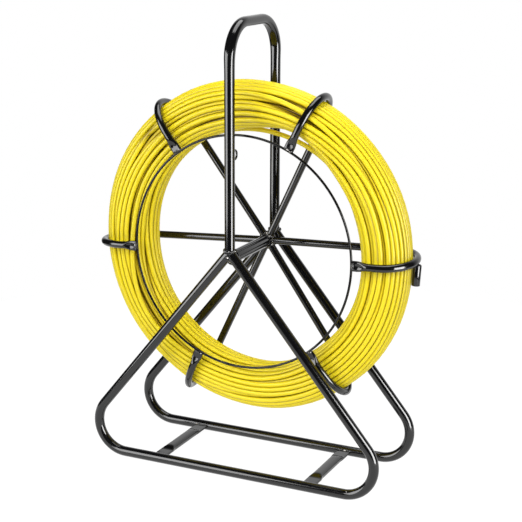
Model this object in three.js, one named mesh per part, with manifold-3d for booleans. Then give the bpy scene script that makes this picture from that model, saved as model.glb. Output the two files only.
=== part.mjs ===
// A fish tape reel: fibreglass rod wound in a wire cage that turns on a free-standing tube stand.
//
// Millimetres, +Z up. The origin is on the floor, under the middle of the reel. X runs along the
// two side frames. Y runs along the axle, from the front side frame to the back one.

import * as THREE from "three";
import { mergeVertices } from "three/addons/utils/BufferGeometryUtils.js";
import Module from "manifold-3d";

const wasm = await Module();
wasm.setup();

// ---- Driving dimensions ---------------------------------------------------------------------

const GAP = 0.3; // left between two pieces that touch

// Stand
const TOTAL_HEIGHT = 600;
const FRAME_SPACING = 135; // between the planes of the two side frames
const FRAME_TUBE = 13.3; // outside diameter of the stand's tube
const LEG_APEX = 306.5; // height where the centre lines of a frame's two legs meet
const LEG_LEAN = THREE.MathUtils.degToRad(39.5); // each leg's angle to the vertical
const FOOT_BEND = 40.5; // centre-line radius of a frame's two lower corners
const HANDLE_BEND = 45; // centre-line radius of the handle's two upper corners
const HANDLE_FOOT = 8; // how far the handle's ends reach below the leg apex

// Crossbars of the base: tube pressed to an oval, with its ends crimped flat
const CROSSBAR_X = 110.5; // from the middle of the stand to each bar
const CROSSBAR_HEIGHT = 7.5; // of a bar's centre line above the floor
const CROSSBAR_WIDTH = 15;
const CROSSBAR_THICKNESS = 9;
const CRIMP_WIDTH = 18.6;
const CRIMP_THICKNESS = 3;
const CRIMP_LENGTH = 19; // of the flat at each end
const CRIMP_SLOPE = 12; // over which the oval narrows to the flat

// Axle and hub
const AXLE_HEIGHT = 298.5;
const AXLE_DIAMETER = 10;
const WASHER_DIAMETER = 21;
const WASHER_THICKNESS = 1.6;
const SLEEVE_DIAMETER = 16;
const SLEEVE_BORE = 13;
const BUSH_BORE = 10.6;
const BUSH_LENGTH = 14;

// Cage: six arms, each a spoke at the back that hooks round the rod to a wire ring at the front
const SPOKE_Y = 46; // plane of the spokes
const ARM_ROD = 10;
const HOOK_BEND = 41.8; // centre-line radius of the half circle that holds the rod
const RING_RADIUS = 154;
const RING_WIRE = 3.2;
const PADDLE_WIDTH = 13.6; // of the flattened end of a hook
const PADDLE_THICKNESS = 4;
const PADDLE_LENGTH = 10;
const PADDLE_SLOPE = 8; // over which the round rod flattens
// Each arm's angle from +X towards +Z, how far its front end leans from its spoke (both in degrees),
// and its reach from the axle to the outermost point of its hook's centre line
const ARMS = [
  { name: "cage_arm_right", angle: 2.1, lean: -1.6, reach: 223.6 },
  { name: "cage_arm_upper_right", angle: 64.8, lean: -0.3, reach: 225.2 },
  { name: "cage_arm_upper_left", angle: 127.2, lean: -1.6, reach: 227 },
  { name: "cage_arm_left", angle: 183.4, lean: -0.9, reach: 223 },
  { name: "cage_arm_lower_left", angle: 244.7, lean: 1.9, reach: 222.8 },
  { name: "cage_arm_lower_right", angle: 304.9, lean: 4.0, reach: 225 },
];

// Wound rod and its fittings
const COIL_RADIUS = 185.4; // from the axle to the middle of the bundle
const COIL_Y = 3.4;
const BUNDLE_RADIUS = 31; // of the bundle's nearly round section
const BUNDLE_SQUARENESS = 2.05; // exponent of the section's superellipse: 2 would be a circle
const FERRULE_DIAMETER = 9.2;
const FERRULE_LENGTH = 20;
const STUD_DIAMETER = 5;
const STUD_LENGTH = 8;
// Where each end lies, and which way round the rim its stud points
const OUTER_FERRULE = { angle: 215, radius: 196, y: 40.2, way: 1 };
const INNER_FERRULE = { angle: 35, radius: 151.6, y: 20, way: -1 };

// Holder for the rod's free end on the cage, and the eye on the stand that guides the rod out
const HOLDER_DIAMETER = 11;
const HOLDER_BORE = 8.8;
const HOLDER_LENGTH = 26;
const HOLDER_Y = 7;
const HOLDER_RADIUS = 224.8; // from the axle to its centre line
const EYE_DIAMETER = 14.4; // outside
const EYE_WIRE = 2.8;
const EYE_HEIGHT = 430; // above the floor

// ---- Dimensions worked out from those -------------------------------------------------------

const TUBE_SIDES = 12;
const TUBE_RADIUS = FRAME_TUBE / 2;
const FRAME_Y = FRAME_SPACING / 2;
const BASE_HEIGHT = TUBE_RADIUS;
const HALF_BASE = (LEG_APEX - BASE_HEIGHT) * Math.tan(LEG_LEAN);
const LEG_END = TUBE_RADIUS / Math.tan(LEG_LEAN) + GAP / 2; // from the apex to the legs' square ends
const HANDLE_HEIGHT = TOTAL_HEIGHT - TUBE_RADIUS;
const FRAME_INSIDE = FRAME_Y - TUBE_RADIUS; // the side frames' inner faces
const AXLE_END = FRAME_INSIDE - GAP;
const WASHER_INSIDE = AXLE_END - WASHER_THICKNESS;
const SLEEVE_END = WASHER_INSIDE - GAP;
const HOOK_END_Y = SPOKE_Y - 2 * HOOK_BEND;
const HOOK_END_RADIUS = RING_RADIUS + RING_WIRE / 2 + GAP;
const PADDLE_EDGE = HOOK_END_RADIUS + PADDLE_LENGTH;

const BLACK_PAINT = { color: 0x141416, roughness: 0.35, metalness: 0.1 };
const BLACK_WIRE = { color: 0x1a1a1c, roughness: 0.4, metalness: 0.1 };
const NYLON = { color: 0xd9d6cc, roughness: 0.55, metalness: 0 };
const YELLOW_ROD = { color: 0xf5cf12, roughness: 0.42, metalness: 0 };
const BRASS = { color: 0xb98f3c, roughness: 0.32, metalness: 0.9 };

// ---- Shapes ---------------------------------------------------------------------------------

/** The centre line of a bent tube, as the stations where its section is placed. */
class BentLine extends THREE.Curve {
  constructor(stations) {
    super();
    this.stations = stations;
  }

  get steps() {
    return this.stations.length - 1;
  }

  stationAt(u) {
    return this.stations[Math.round(u * this.steps)];
  }

  getPoint(t) {
    return this.stationAt(t).point.clone();
  }

  getTangentAt(u) {
    return this.stationAt(u).tangent.clone();
  }

  getSpacedPoints() {
    return this.stations.map((station) => station.point.clone());
  }
}

/** Stations along straights that meet in round bends of one radius. */
function bentLine(corners, bendRadius, stepsPerBend) {
  const first = corners[0];
  const stations = [{ point: first, tangent: corners[1].clone().sub(first).normalize() }];
  for (let i = 1; i < corners.length - 1; i += 1) {
    const corner = corners[i];
    const before = corner.clone().sub(corners[i - 1]).normalize();
    const after = corners[i + 1].clone().sub(corner).normalize();
    const turn = before.angleTo(after);
    const inward = after.clone().sub(before).normalize();
    const centre = corner.clone().addScaledVector(inward, bendRadius / Math.cos(turn / 2));
    const normal = before.clone().cross(after).normalize();
    const arm = normal.clone().cross(before).multiplyScalar(-bendRadius);
    for (let step = 0; step <= stepsPerBend; step += 1) {
      const angle = (turn * step) / stepsPerBend;
      stations.push({
        point: centre.clone().add(arm.clone().applyAxisAngle(normal, angle)),
        tangent: before.clone().applyAxisAngle(normal, angle),
      });
    }
  }
  const last = corners[corners.length - 1];
  stations.push({ point: last, tangent: stations[stations.length - 1].tangent.clone() });
  return withoutRepeats(stations);
}

/** Two bends that meet with no straight between them share one station. */
function withoutRepeats(stations) {
  return new BentLine(
    stations.filter((station, i) => i === 0 || station.point.distanceTo(stations[i - 1].point) > 0.01),
  );
}

/** A section with flats that touch a circle of this radius, one of them on each of its own axes. */
function roundSection(radius, sides) {
  const corners = [];
  const toCorner = radius / Math.cos(Math.PI / sides);
  for (let i = 0; i < sides; i += 1) {
    const angle = ((i + 0.5) * 2 * Math.PI) / sides;
    corners.push(new THREE.Vector2(toCorner * Math.cos(angle), toCorner * Math.sin(angle)));
  }
  return new THREE.Shape(corners);
}

/** A long section with two flats and two half-round edges, `across` wide and `through` thick. */
function ovalSection(across, through, stepsPerEdge) {
  const radius = through / 2;
  const centre = (across - through) / 2;
  const corners = [];
  for (const side of [1, -1]) {
    for (let step = 0; step <= stepsPerEdge; step += 1) {
      const angle = Math.PI * (step / stepsPerEdge - 0.5);
      const out = centre + radius * Math.cos(angle);
      corners.push(new THREE.Vector2(side * radius * Math.sin(angle), side * out));
    }
  }
  return new THREE.Shape(corners.reverse());
}

function sweep(section, line) {
  return new THREE.ExtrudeGeometry(section, {
    steps: line.steps,
    extrudePath: line,
    bevelEnabled: false,
  });
}

/** A solid of revolution about Y. Its profile runs from low Y to high Y along the outside. */
function revolve(profile, segments) {
  const points = profile.map(([radius, y]) => new THREE.Vector2(radius, y));
  return new THREE.LatheGeometry(points, segments);
}

function rod(diameter, fromY, toY, segments) {
  const radius = diameter / 2;
  return revolve([[0, fromY], [radius, fromY], [radius, toY], [0, toY]], segments);
}

function pipe(outside, bore, fromY, toY, segments) {
  const outer = outside / 2;
  const inner = bore / 2;
  return revolve([[inner, fromY], [outer, fromY], [outer, toY], [inner, toY], [inner, fromY]], segments);
}

/** A ring of round wire about Y, with its centre line `radius` from the axis. */
function wireRing(radius, wire, wireSides, segments) {
  const profile = [];
  const toCorner = wire / 2 / Math.cos(Math.PI / wireSides);
  for (let i = 0; i <= wireSides; i += 1) {
    const angle = ((i - 0.5) * 2 * Math.PI) / wireSides - Math.PI / 2;
    profile.push([radius + toCorner * Math.cos(angle), toCorner * Math.sin(angle)]);
  }
  return revolve(profile, segments);
}

/** Moves every vertex by a rule that changes the vector it is given. */
function reshape(geometry, rule) {
  const position = geometry.attributes.position;
  const vertex = new THREE.Vector3();
  for (let i = 0; i < position.count; i += 1) {
    vertex.fromBufferAttribute(position, i);
    rule(vertex);
    position.setXYZ(i, vertex.x, vertex.y, vertex.z);
  }
  geometry.computeVertexNormals();
  return geometry;
}

function solidOf(geometry) {
  const bare = geometry.clone();
  bare.deleteAttribute("normal");
  bare.deleteAttribute("uv");
  const merged = mergeVertices(bare);
  return new wasm.Manifold(
    new wasm.Mesh({
      numProp: 3,
      vertProperties: Float32Array.from(merged.attributes.position.array),
      triVerts: Uint32Array.from(merged.index.array),
    }),
  );
}

function geometryOf(solid) {
  const mesh = solid.getMesh();
  const geometry = new THREE.BufferGeometry();
  geometry.setAttribute("position", new THREE.BufferAttribute(mesh.vertProperties, 3));
  geometry.setIndex(new THREE.BufferAttribute(mesh.triVerts, 1));
  geometry.computeVertexNormals();
  return geometry;
}

function part(name, geometry, finish) {
  const mesh = new THREE.Mesh(geometry, new THREE.MeshStandardMaterial(finish));
  mesh.name = name;
  return mesh;
}

/** A point in the plane of a side frame or of the handle. */
function upright(x, y, z) {
  return new THREE.Vector3(x, y, z);
}

// ---- Stand ----------------------------------------------------------------------------------

/** One tube bent into a triangle with round feet. Its two square ends face each other at the top. */
function sideTube(y, radius, trim) {
  const reach = LEG_END - trim;
  const endX = reach * Math.sin(LEG_LEAN);
  const endZ = LEG_APEX - reach * Math.cos(LEG_LEAN);
  const corners = [
    upright(-endX, y, endZ),
    upright(-HALF_BASE, y, BASE_HEIGHT),
    upright(HALF_BASE, y, BASE_HEIGHT),
    upright(endX, y, endZ),
  ];
  return sweep(roundSection(radius, TUBE_SIDES), bentLine(corners, FOOT_BEND, 10));
}

/** An arch over the reel. Its ends are cut to sit in the V of each side frame's legs. */
function handleTube() {
  const corners = [
    upright(0, -FRAME_Y, LEG_APEX - HANDLE_FOOT),
    upright(0, -FRAME_Y, HANDLE_HEIGHT),
    upright(0, FRAME_Y, HANDLE_HEIGHT),
    upright(0, FRAME_Y, LEG_APEX - HANDLE_FOOT),
  ];
  const arch = sweep(roundSection(TUBE_RADIUS, TUBE_SIDES), bentLine(corners, HANDLE_BEND, 9));
  let solid = solidOf(arch);
  for (const y of [-FRAME_Y, FRAME_Y]) {
    solid = solid.subtract(solidOf(sideTube(y, TUBE_RADIUS + GAP, GAP)));
  }
  return geometryOf(solid);
}

/** How far a crimp has gone, from 0 on the full section to 1 on the flat. */
function crimped(fromEnd, flat, slope) {
  return 1 - THREE.MathUtils.smoothstep(fromEnd, flat, flat + slope);
}

/** A bar between the side frames' base tubes, oval in the middle and crimped flat at both ends. */
function crossbar() {
  const slopeSteps = 4;
  const distances = [0];
  for (let i = 0; i <= slopeSteps; i += 1) {
    distances.push(CRIMP_LENGTH + (CRIMP_SLOPE * i) / slopeSteps);
  }
  const ends = distances.map((distance) => distance - AXLE_END);
  const places = [...ends, ...ends.map((y) => -y).reverse()];
  const line = new BentLine(
    places.map((y) => ({ point: new THREE.Vector3(0, y, 0), tangent: new THREE.Vector3(0, 1, 0) })),
  );
  const bar = sweep(ovalSection(CROSSBAR_WIDTH, CROSSBAR_THICKNESS, 6), line);
  return reshape(bar, (vertex) => {
    const amount = crimped(AXLE_END - Math.abs(vertex.y), CRIMP_LENGTH, CRIMP_SLOPE);
    vertex.x *= THREE.MathUtils.lerp(1, CRIMP_WIDTH / CROSSBAR_WIDTH, amount);
    vertex.z *= THREE.MathUtils.lerp(1, CRIMP_THICKNESS / CROSSBAR_THICKNESS, amount);
  });
}

/** A small ring of wire on the inner side of the front upright, facing along X. */
function guideEye() {
  const eye = part("guide_eye", wireRing((EYE_DIAMETER - EYE_WIRE) / 2, EYE_WIRE, 8, 28), BLACK_PAINT);
  eye.rotation.z = Math.PI / 2;
  eye.position.set(0, -FRAME_INSIDE + GAP + EYE_DIAMETER / 2, EYE_HEIGHT);
  return eye;
}

function washer(name, side) {
  const middle = (AXLE_END + WASHER_INSIDE) / 2;
  const half = WASHER_THICKNESS / 2;
  const mesh = part(name, pipe(WASHER_DIAMETER, BUSH_BORE, -half, half, 24), BLACK_WIRE);
  mesh.position.set(0, side * middle, AXLE_HEIGHT);
  return mesh;
}

function stand() {
  const group = new THREE.Group();
  group.add(part("front_side_tube", sideTube(-FRAME_Y, TUBE_RADIUS, 0), BLACK_PAINT));
  group.add(part("back_side_tube", sideTube(FRAME_Y, TUBE_RADIUS, 0), BLACK_PAINT));
  group.add(part("handle_tube", handleTube(), BLACK_PAINT));
  for (const [name, side] of [["left_base_crossbar", -1], ["right_base_crossbar", 1]]) {
    const bar = part(name, crossbar(), BLACK_PAINT);
    bar.position.set(side * CROSSBAR_X, 0, CROSSBAR_HEIGHT);
    group.add(bar);
  }
  const axle = part("axle_rod", rod(AXLE_DIAMETER, -AXLE_END, AXLE_END, 24), BLACK_PAINT);
  axle.position.z = AXLE_HEIGHT;
  group.add(axle);
  group.add(washer("front_thrust_washer", -1));
  group.add(washer("back_thrust_washer", 1));
  group.add(guideEye());
  return group;
}

// ---- Cage -----------------------------------------------------------------------------------

/** The half-angles to the two neighbouring spokes, before and after this one. */
function shareOfCircle(index) {
  const angle = ARMS[index].angle;
  const before = ARMS[(index + ARMS.length - 1) % ARMS.length].angle;
  const after = ARMS[(index + 1) % ARMS.length].angle;
  return [((angle - before + 360) % 360) / 2, ((after - angle + 360) % 360) / 2];
}

/** A wedge round +X, with its edge on the axle, that a spoke's inner end is cut to fit. */
function spokeWedge(index) {
  const [below, above] = shareOfCircle(index).map(THREE.MathUtils.degToRad);
  const reach = 2 * ARMS[index].reach;
  const edge = 2 * GAP;
  const wedge = new THREE.Shape([
    new THREE.Vector2(edge, 0),
    new THREE.Vector2(reach, -(reach - edge) * Math.tan(below)),
    new THREE.Vector2(reach, (reach - edge) * Math.tan(above)),
  ]);
  const depth = 4 * HOOK_BEND;
  const geometry = new THREE.ExtrudeGeometry(wedge, { depth, bevelEnabled: false });
  geometry.rotateX(Math.PI / 2); // the shape's y becomes +Z, and its depth runs along -Y
  geometry.translate(0, depth / 2, 0);
  return solidOf(geometry);
}

/** One arm with its spoke along +X: out at the back, half round the rod, and in at the front. */
function cageArm(index) {
  const { lean, reach } = ARMS[index];
  const corners = [
    new THREE.Vector3(SLEEVE_DIAMETER / 2 + GAP, SPOKE_Y, 0),
    new THREE.Vector3(reach, SPOKE_Y, 0),
    new THREE.Vector3(reach, HOOK_END_Y, 0),
    new THREE.Vector3(PADDLE_EDGE + PADDLE_SLOPE, HOOK_END_Y, 0),
  ];
  const bend = bentLine(corners, HOOK_BEND, 7).stations;
  for (const radius of [PADDLE_EDGE + PADDLE_SLOPE / 2, PADDLE_EDGE, HOOK_END_RADIUS]) {
    bend.push({
      point: new THREE.Vector3(radius, HOOK_END_Y, 0),
      tangent: new THREE.Vector3(-1, 0, 0),
    });
  }
  const arm = sweep(roundSection(ARM_ROD / 2, 10), new BentLine(bend));
  const leanAngle = THREE.MathUtils.degToRad(lean);
  reshape(arm, (vertex) => {
    if (vertex.y < 0) {
      const amount = crimped(vertex.x - HOOK_END_RADIUS, PADDLE_LENGTH, PADDLE_SLOPE);
      const flatY = (vertex.y - HOOK_END_Y) * (PADDLE_THICKNESS / ARM_ROD);
      vertex.y = THREE.MathUtils.lerp(vertex.y, HOOK_END_Y + flatY, amount);
      vertex.z *= THREE.MathUtils.lerp(1, PADDLE_WIDTH / ARM_ROD, amount);
    }
    const forward = THREE.MathUtils.clamp((SPOKE_Y - vertex.y) / (2 * HOOK_BEND), 0, 1);
    vertex.applyAxisAngle(new THREE.Vector3(0, 1, 0), -leanAngle * forward);
  });
  return geometryOf(solidOf(arm).intersect(spokeWedge(index)));
}

// ---- Wound rod and its holder -------------------------------------------------------------------

/** The outer shape of the wound rod: a ring with a nearly round section. */
function rodCoil() {
  const profile = [];
  const steps = 14;
  const power = 2 / BUNDLE_SQUARENESS;
  const toCorner = BUNDLE_RADIUS / Math.cos(Math.PI / steps);
  for (let i = 0; i <= steps; i += 1) {
    const angle = ((i - 0.5) * 2 * Math.PI) / steps - Math.PI / 2;
    const out = Math.sign(Math.cos(angle)) * Math.abs(Math.cos(angle)) ** power;
    const along = Math.sign(Math.sin(angle)) * Math.abs(Math.sin(angle)) ** power;
    profile.push([COIL_RADIUS + toCorner * out, COIL_Y + toCorner * along]);
  }
  return revolve(profile, 54);
}

/** Turns a piece made along Y to lie along the reel's rim, at an angle from +X towards +Z. */
function layOnRim(mesh, place) {
  const angle = THREE.MathUtils.degToRad(place.angle);
  const outward = new THREE.Vector3(Math.cos(angle), 0, Math.sin(angle));
  const along = new THREE.Vector3(-Math.sin(angle), 0, Math.cos(angle)).multiplyScalar(place.way);
  const across = outward.clone().cross(along);
  mesh.quaternion.setFromRotationMatrix(new THREE.Matrix4().makeBasis(outward, along, across));
  mesh.position.copy(outward).multiplyScalar(place.radius);
  mesh.position.y = place.y;
  return mesh;
}

/** A crimped brass end with a stud that takes a pulling head. */
function ferrule(name, place) {
  const radius = FERRULE_DIAMETER / 2;
  const shoulder = FERRULE_LENGTH / 2;
  const chamfer = 1;
  const stud = STUD_DIAMETER / 2;
  const profile = [
    [0, -shoulder],
    [radius - chamfer, -shoulder],
    [radius, -shoulder + chamfer],
    [radius, shoulder - chamfer],
    [radius - chamfer, shoulder],
    [stud, shoulder],
    [stud, shoulder + STUD_LENGTH],
    [0, shoulder + STUD_LENGTH],
  ];
  return layOnRim(part(name, revolve(profile, 16), BRASS), place);
}

/** A short tube under the right-hand hook, along the rim. The rod's free end is pushed up into it. */
function rodEndHolder() {
  const half = HOLDER_LENGTH / 2;
  const tube = part("rod_end_holder", pipe(HOLDER_DIAMETER, HOLDER_BORE, -half, half, 20), BLACK_PAINT);
  const hookAngle = THREE.MathUtils.degToRad(ARMS[0].angle + ARMS[0].lean / 2);
  const drop = half + ARM_ROD / 2 + 2 * GAP - HOLDER_RADIUS * Math.sin(hookAngle);
  const angle = -THREE.MathUtils.radToDeg(Math.atan2(drop, HOLDER_RADIUS));
  return layOnRim(tube, { angle, radius: HOLDER_RADIUS, y: HOLDER_Y, way: 1 });
}

/** Everything that turns, with its axle at the group's origin. */
function reel() {
  const group = new THREE.Group();
  group.position.z = AXLE_HEIGHT;
  group.add(part("hub_sleeve", pipe(SLEEVE_DIAMETER, SLEEVE_BORE, -SLEEVE_END, SLEEVE_END, 24), BLACK_PAINT));
  for (const [name, side] of [["front_hub_bush", -1], ["back_hub_bush", 1]]) {
    const half = BUSH_LENGTH / 2;
    const bush = part(name, pipe(SLEEVE_BORE - 2 * GAP, BUSH_BORE, -half, half, 24), NYLON);
    bush.position.y = side * (SLEEVE_END - half);
    group.add(bush);
  }
  ARMS.forEach((arm, index) => {
    const mesh = part(arm.name, cageArm(index), BLACK_PAINT);
    mesh.rotation.y = -THREE.MathUtils.degToRad(arm.angle);
    group.add(mesh);
  });
  const ring = part("retaining_ring", wireRing(RING_RADIUS, RING_WIRE, 8, 60), BLACK_WIRE);
  ring.position.y = HOOK_END_Y;
  group.add(ring);
  group.add(rodEndHolder());
  group.add(part("fish_rod_coil", rodCoil(), YELLOW_ROD));
  group.add(ferrule("outer_rod_ferrule", OUTER_FERRULE));
  group.add(ferrule("inner_rod_ferrule", INNER_FERRULE));
  return group;
}

const fishTapeReel = new THREE.Group();
fishTapeReel.add(stand());
fishTapeReel.add(reel());

export default fishTapeReel;
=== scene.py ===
"""The looks of a fish tape reel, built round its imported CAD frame.

Lengths are millimetres, and every mesh is scaled to metres as it is made. Only the camera, the table
and the lights are in metres.
+Z is up, X runs along the side frames, and Y runs along the axle from the front frame to the back.
"""

import math

import bmesh
import bpy
import numpy as np
from mathutils import Matrix, Vector


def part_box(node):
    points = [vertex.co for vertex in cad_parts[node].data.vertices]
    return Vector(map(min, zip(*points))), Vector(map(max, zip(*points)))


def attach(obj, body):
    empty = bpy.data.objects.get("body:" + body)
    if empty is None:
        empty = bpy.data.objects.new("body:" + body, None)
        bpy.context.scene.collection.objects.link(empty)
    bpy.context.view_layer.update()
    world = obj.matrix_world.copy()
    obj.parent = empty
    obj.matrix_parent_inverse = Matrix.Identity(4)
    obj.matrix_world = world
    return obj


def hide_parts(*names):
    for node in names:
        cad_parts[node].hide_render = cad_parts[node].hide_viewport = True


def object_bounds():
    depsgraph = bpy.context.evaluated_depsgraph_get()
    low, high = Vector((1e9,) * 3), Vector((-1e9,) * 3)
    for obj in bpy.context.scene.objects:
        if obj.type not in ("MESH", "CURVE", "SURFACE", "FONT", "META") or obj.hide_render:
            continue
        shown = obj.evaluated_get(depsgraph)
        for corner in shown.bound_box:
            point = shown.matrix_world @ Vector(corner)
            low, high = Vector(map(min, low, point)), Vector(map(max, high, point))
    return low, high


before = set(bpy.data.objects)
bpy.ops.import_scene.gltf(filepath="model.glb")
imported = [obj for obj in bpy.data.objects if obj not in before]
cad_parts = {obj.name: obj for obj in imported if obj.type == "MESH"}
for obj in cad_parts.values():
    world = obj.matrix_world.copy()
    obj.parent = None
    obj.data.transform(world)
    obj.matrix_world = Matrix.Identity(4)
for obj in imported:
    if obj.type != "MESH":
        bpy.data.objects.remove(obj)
cad_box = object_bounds()

MM = 0.001
X_AXIS = np.array([1.0, 0.0, 0.0])
Y_AXIS = np.array([0.0, 1.0, 0.0])
Z_AXIS = np.array([0.0, 0.0, 1.0])


def add_object(name, data):
    """A new object in the scene."""
    thing = bpy.data.objects.new(name, data)
    bpy.context.scene.collection.objects.link(thing)
    return thing


# ---- Camera ----

CAMERA_AZIMUTH = math.radians(25.345)
CAMERA_ELEVATION = math.radians(14.595)
CAMERA_ROLL = math.radians(0.218)
CAMERA_TARGET = Vector((0.01189, 0.0, 0.28108))
CAMERA_DISTANCE = 1.7764
CAMERA_LENS = 93.135
SENSOR_WIDTH = 36.0


def make_camera():
    """The camera, at the photograph's angle to the reel."""
    camera = add_object("camera", bpy.data.cameras.new("camera"))
    flat = math.cos(CAMERA_ELEVATION)
    back = Vector(
        (math.sin(CAMERA_AZIMUTH) * flat, -math.cos(CAMERA_AZIMUTH) * flat, math.sin(CAMERA_ELEVATION))
    )
    right = Vector((math.cos(CAMERA_AZIMUTH), math.sin(CAMERA_AZIMUTH), 0.0))
    rotation = Matrix((right, back.cross(right), back)).transposed().to_4x4()
    roll = Matrix.Rotation(CAMERA_ROLL, 4, "Z")
    place = Matrix.Translation(CAMERA_TARGET + back * CAMERA_DISTANCE)
    camera.matrix_world = place @ rotation @ roll
    camera.data.sensor_width = SENSOR_WIDTH
    camera.data.lens = CAMERA_LENS
    bpy.context.scene.camera = camera


make_camera()


# ---- Sizes ----

def box_of(node):
    """The low and high corners of a CAD node's box, in millimetres."""
    return (np.array(corner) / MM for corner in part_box(node))


# Read from the frame
side_low, side_high = box_of("front_side_tube")
axle_low, axle_high = box_of("axle_rod")
ring_low, ring_high = box_of("retaining_ring")
eye_low, eye_high = box_of("guide_eye")
TOTAL_HEIGHT = cad_box[1].z / MM
FRAME_Y = -(side_low[1] + side_high[1]) / 2
TUBE_RADIUS = (side_high[1] - side_low[1]) / 2
AXLE_HEIGHT = (axle_low[2] + axle_high[2]) / 2
AXLE_END = axle_high[1]

# Stand
LEG_APEX = 306.5  # height where a side frame's legs meet
LEG_LEAN = math.radians(39.5)
FOOT_BEND = 40.5
HANDLE_BEND = 45.0
HANDLE_FLAT = (12.9, 14.2)  # thickness and width of the handle where bending has flattened it
HANDLE_POWER = 2.35  # of the superellipse that the flattened handle's section follows
BASE_HEIGHT = TUBE_RADIUS
HALF_BASE = (LEG_APEX - BASE_HEIGHT) * math.tan(LEG_LEAN)
CROSSBAR_X = 110.5
CROSSBAR_HEIGHT = 7.5
CROSSBAR_SECTION = (15.0, 9.0)
CROSSBAR_POWER = 2.9
CRIMP_SECTION = (18.6, 2.9)
CRIMP_POWER = 6.0
CRIMP_LENGTH = 19.0
CRIMP_SLOPE = 12.0
WASHER_DIAMETER = 21.0
WASHER_THICKNESS = 1.6
EYE_WIRE = 2.8

# Reel
SLEEVE_DIAMETER = 16.0
SLEEVE_BORE = 13.0
SLEEVE_END = 58.65
BUSH_BORE = 10.6
BUSH_LENGTH = 14.0
SPOKE_Y = 46.0
ARM_ROD = 10.0
HOOK_BEND = 41.8
HOOK_END_Y = SPOKE_Y - 2 * HOOK_BEND
RING_WIRE = 3.2
RING_RADIUS = (ring_high[0] - ring_low[0]) / 2 - RING_WIRE / 2
PADDLE_SECTION = (13.6, 4.0)
PADDLE_POWER = 3.4
PADDLE_LENGTH = 10.0
PADDLE_SLOPE = 8.0
# Each arm: its angle from +X towards +Z, how far its front end leans, and how far its hook reaches
ARMS = {
    "right": (2.1, -1.6, 223.6),
    "upper_right": (64.8, -0.3, 225.2),
    "upper_left": (127.2, -1.6, 227.0),
    "left": (183.4, -0.9, 223.0),
    "lower_left": (244.7, 1.9, 222.8),
    "lower_right": (304.9, 4.0, 225.0),
}
HOLDER_DIAMETER = 11.0
HOLDER_BORE = 8.8
HOLDER_LENGTH = 26.0

# Weld beads: their radii, and the share of a radius that ripples take, and unevenness too
BEADS = {"apex": 2.3, "crossbar": 1.3, "axle": 1.9, "eye": 1.0, "spoke": 1.7, "tip": 1.7, "holder": 1.2}
BEAD_RIPPLE = 0.14
BEAD_SIDES = 12

# Wound rod
ROD_DIAMETER = 6.35
STRAND_SPACING = 6.45  # of two strands that touch, between their middles
COIL_RADIUS = 186.2
COIL_Y = 3.4
BUNDLE_RADIUS = 31.8
FERRULE_DIAMETER = 9.2
FERRULE_LENGTH = 20.0
CRIMP_GROOVES = (-6.0, -2.5, 1.0)  # along a ferrule, from its middle
GROOVE_WIDTH = 0.55
GROOVE_DEPTH = 0.45
STUD_DIAMETER = 5.0
STUD_LENGTH = 8.0
THREAD_PITCH = 0.8
THREAD_DEPTH = 0.45
OUTER_END = (215.0, 196.0, 40.2)  # angle, radius and Y of the ferrule on the rod's outer end
INNER_END = (35.0, 151.6, 20.0)


# ---- Mesh helpers ----

def skin(rings, closed=False):
    """Vertices and faces over an array of rings, with flat ends or joined end to end."""
    count, sides = rings.shape[:2]
    faces = []
    for i in range(count if closed else count - 1):
        here = i * sides
        there = ((i + 1) % count) * sides
        for j in range(sides):
            k = (j + 1) % sides
            faces.append((here + j, here + k, there + k, there + j))
    if not closed:
        faces.append(tuple(range(sides)))
        faces.append(tuple(range((count - 1) * sides, count * sides)))
    return rings.reshape(-1, 3), faces


def loft(name, rings, material, closed=False, crease=35):
    """An object whose skin goes over an array of rings, with edges sharper than crease kept hard."""
    vertices, faces = skin(rings, closed)
    mesh = bpy.data.meshes.new(name)
    mesh.from_pydata((vertices * MM).tolist(), [], faces)
    shell = bmesh.new()
    shell.from_mesh(mesh)
    bmesh.ops.recalc_face_normals(shell, faces=shell.faces)
    shell.to_mesh(mesh)
    shell.free()
    mesh.shade_smooth()
    mesh.set_sharp_from_angle(angle=math.radians(crease))
    mesh.materials.append(material)
    return add_object(name, mesh)


def unit(vectors):
    """The same directions with a length of 1."""
    return vectors / np.linalg.norm(vectors, axis=-1, keepdims=True)


def xyz(x, y, z):
    """Points from their coordinates, each of them a number or an array."""
    return np.stack(np.broadcast_arrays(x, y, z), axis=-1)


def directions(path, closed=False):
    """The direction of a path at each of its points."""
    if closed:
        return unit(np.roll(path, -1, axis=0) - np.roll(path, 1, axis=0))
    return unit(np.gradient(path, axis=0))


def carried_normals(tangents, closed=False):
    """A normal at each point that turns as little as it can from one to the next."""
    least = np.eye(3)[np.argmin(np.abs(tangents[0]))]
    normal = unit(np.cross(tangents[0], least))
    normals = []
    for tangent in tangents:
        normal = unit(normal - tangent * (normal @ tangent))
        normals.append(normal)
    normals = np.array(normals)
    if closed:
        last = unit(normals[-1] - tangents[0] * (normals[-1] @ tangents[0]))
        miss = math.atan2(np.cross(last, normals[0]) @ tangents[0], last @ normals[0])
        turn = np.linspace(0, miss, len(normals))[:, None]
        normals = normals * np.cos(turn) + np.cross(tangents, normals) * np.sin(turn)
    return normals


def circle(sides):
    """Points round a unit circle."""
    angles = np.arange(sides) * 2 * math.pi / sides
    return np.stack([np.cos(angles), np.sin(angles)], axis=-1)


def round_run(radius, points):
    """A circle of points about Y."""
    turns = circle(points) * radius
    return xyz(turns[:, 0], 0, turns[:, 1])


def superellipse(across, through, power, sides):
    """A rounded section: power 2 is an ellipse, and a higher one is squarer."""
    turns = circle(sides)
    rounded = np.sign(turns) * np.abs(turns) ** (2 / power)
    return rounded * np.array([across, through]) / 2


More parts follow.
